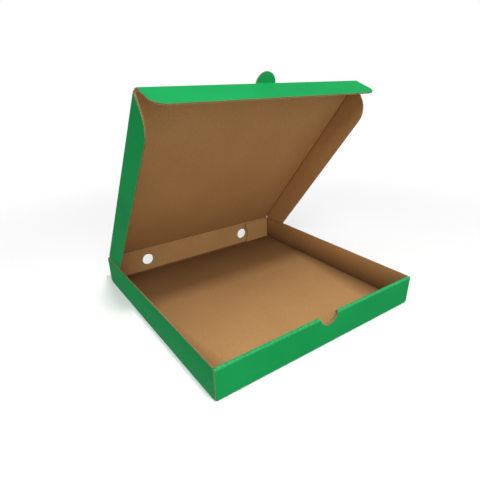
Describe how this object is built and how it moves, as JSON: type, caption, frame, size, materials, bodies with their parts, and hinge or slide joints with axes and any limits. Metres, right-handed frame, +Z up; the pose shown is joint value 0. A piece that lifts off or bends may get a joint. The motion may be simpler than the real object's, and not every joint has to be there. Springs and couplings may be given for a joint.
{
  "type": "pizza box",
  "caption": "Shallow square folding box of corrugated board with a hinged tuck-in lid, rolled front wall, finger notch, pull tab and vent holes.",
  "frame": {"origin": "middle of the tray's underside, between the front and rear walls' outer faces", "axes": "+X to the right seen from the front, +Y from the front wall to the hinge, +Z up"},
  "size_m": [0.33, 0.3317, 0.3118],
  "materials": {
    "kraft_board": "plain brown kraft face of fine-fluted corrugated board, matt",
    "printed_board": "green printed and varnished face of the same board, satin"
  },
  "bodies": {
    "tray": {"tray": "kraft_board"},
    "lid": {"lid_panel": "kraft_board"},
    "front_flap": {"lid_front_flap": "printed_board"},
    "pull_tab": {"pull_tab": "printed_board"},
    "left_flap": {"lid_left_flap": "printed_board"},
    "right_flap": {"lid_right_flap": "printed_board"}
  },
  "joints": [
    {"name": "lid_hinge", "type": "hinge", "parent": "tray", "child": "lid", "pos_m": [0, 0.16425, 0.0439], "axis": [-1, 0, 0], "range_deg": [-52, 128]},
    {"name": "front_flap_fold", "type": "hinge", "parent": "lid", "child": "front_flap", "pos_m": [0, -0.03474, 0.29738], "axis": [1, 0, 0], "range_deg": [-64, 26]},
    {"name": "left_flap_fold", "type": "hinge", "parent": "lid", "child": "left_flap", "pos_m": [-0.1615, 0.06254, 0.17287], "axis": [0, -0.6157, 0.788], "range_deg": [-90, 75]},
    {"name": "right_flap_fold", "type": "hinge", "parent": "lid", "child": "right_flap", "pos_m": [0.1615, 0.06254, 0.17287], "axis": [0, 0.6157, -0.788], "range_deg": [-90, 75]},
    {"name": "pull_tab_fold", "type": "hinge", "parent": "front_flap", "child": "pull_tab", "pos_m": [0, -0.03415, 0.29839], "axis": [1, 0, 0], "range_deg": [-82, 8]}
  ],
  "couplings": [
    {"joint": "front_flap_fold", "follows": "lid_hinge", "ratio": -0.5}
  ]
}
